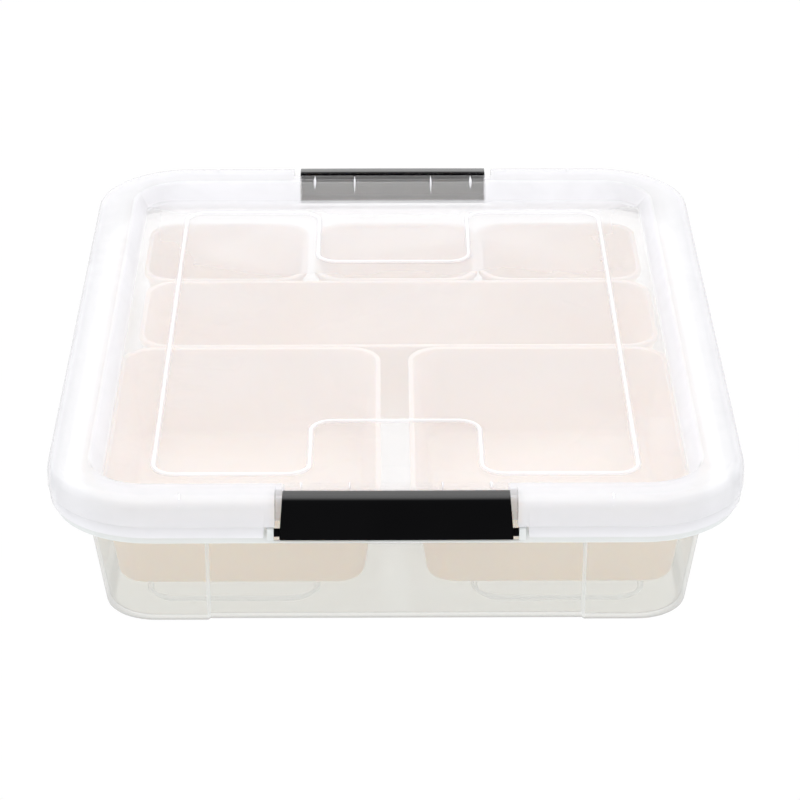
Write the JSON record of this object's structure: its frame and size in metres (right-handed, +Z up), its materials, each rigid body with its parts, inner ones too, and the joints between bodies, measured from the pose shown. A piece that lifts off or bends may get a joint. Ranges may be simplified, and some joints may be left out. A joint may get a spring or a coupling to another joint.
{
  "type": "parts sorting tray",
  "caption": "Low clear storage box with a clip-on lid, black latches and loose beige bins for sorting small parts.",
  "frame": {"origin": "on the resting surface, under the middle of the box", "axes": "+X across the box to its right, +Y towards the rear clip, +Z up"},
  "size_m": [0.335, 0.435, 0.079],
  "materials": {
    "clear_plastic": "clear milky polypropylene, moulded",
    "black_plastic": "black polypropylene, satin",
    "beige_plastic": "milky beige polypropylene, satin"
  },
  "bodies": {
    "tub": {"tub": "clear_plastic"},
    "lid": {"lid": "clear_plastic"},
    "front_clip": {"front_clip": "black_plastic"},
    "rear_clip": {"rear_clip": "black_plastic"},
    "rear_left_bin": {"rear_left_bin": "beige_plastic"},
    "rear_middle_bin": {"rear_middle_bin": "beige_plastic"},
    "rear_right_bin": {"rear_right_bin": "beige_plastic"},
    "long_bin": {"long_bin": "beige_plastic"},
    "front_left_bin": {"front_left_bin": "beige_plastic"},
    "front_right_bin": {"front_right_bin": "beige_plastic"}
  },
  "joints": [
    {"name": "lid_lift", "type": "slide", "parent": "tub", "child": "lid", "axis": [0, 0, 1], "range_m": [0, 0.085]},
    {"name": "front_clip_hinge", "type": "hinge", "parent": "tub", "child": "front_clip", "pos_m": [0, -0.2141, 0.0598], "axis": [1, 0, 0], "range_deg": [0, 125]},
    {"name": "rear_clip_hinge", "type": "hinge", "parent": "tub", "child": "rear_clip", "pos_m": [0, 0.2141, 0.0598], "axis": [-1, 0, 0], "range_deg": [0, 125]},
    {"name": "rear_left_bin_lift", "type": "slide", "parent": "tub", "child": "rear_left_bin", "axis": [0, 0, 1], "range_m": [0, 0.073]},
    {"name": "rear_middle_bin_lift", "type": "slide", "parent": "tub", "child": "rear_middle_bin", "axis": [0, 0, 1], "range_m": [0, 0.073]},
    {"name": "rear_right_bin_lift", "type": "slide", "parent": "tub", "child": "rear_right_bin", "axis": [0, 0, 1], "range_m": [0, 0.073]},
    {"name": "long_bin_lift", "type": "slide", "parent": "tub", "child": "long_bin", "axis": [0, 0, 1], "range_m": [0, 0.073]},
    {"name": "front_left_bin_lift", "type": "slide", "parent": "tub", "child": "front_left_bin", "axis": [0, 0, 1], "range_m": [0, 0.073]},
    {"name": "front_right_bin_lift", "type": "slide", "parent": "tub", "child": "front_right_bin", "axis": [0, 0, 1], "range_m": [0, 0.073]}
  ],
  "couplings": [
    {"joint": "front_clip_hinge", "follows": "lid_lift", "rad_per_m": 25.667},
    {"joint": "rear_clip_hinge", "follows": "lid_lift", "rad_per_m": 25.667},
    {"joint": "rear_left_bin_lift", "follows": "lid_lift", "ratio": 0.8588},
    {"joint": "rear_middle_bin_lift", "follows": "lid_lift", "ratio": 0.8588},
    {"joint": "rear_right_bin_lift", "follows": "lid_lift", "ratio": 0.8588},
    {"joint": "long_bin_lift", "follows": "lid_lift", "ratio": 0.8588},
    {"joint": "front_left_bin_lift", "follows": "lid_lift", "ratio": 0.8588},
    {"joint": "front_right_bin_lift", "follows": "lid_lift", "ratio": 0.8588}
  ]
}
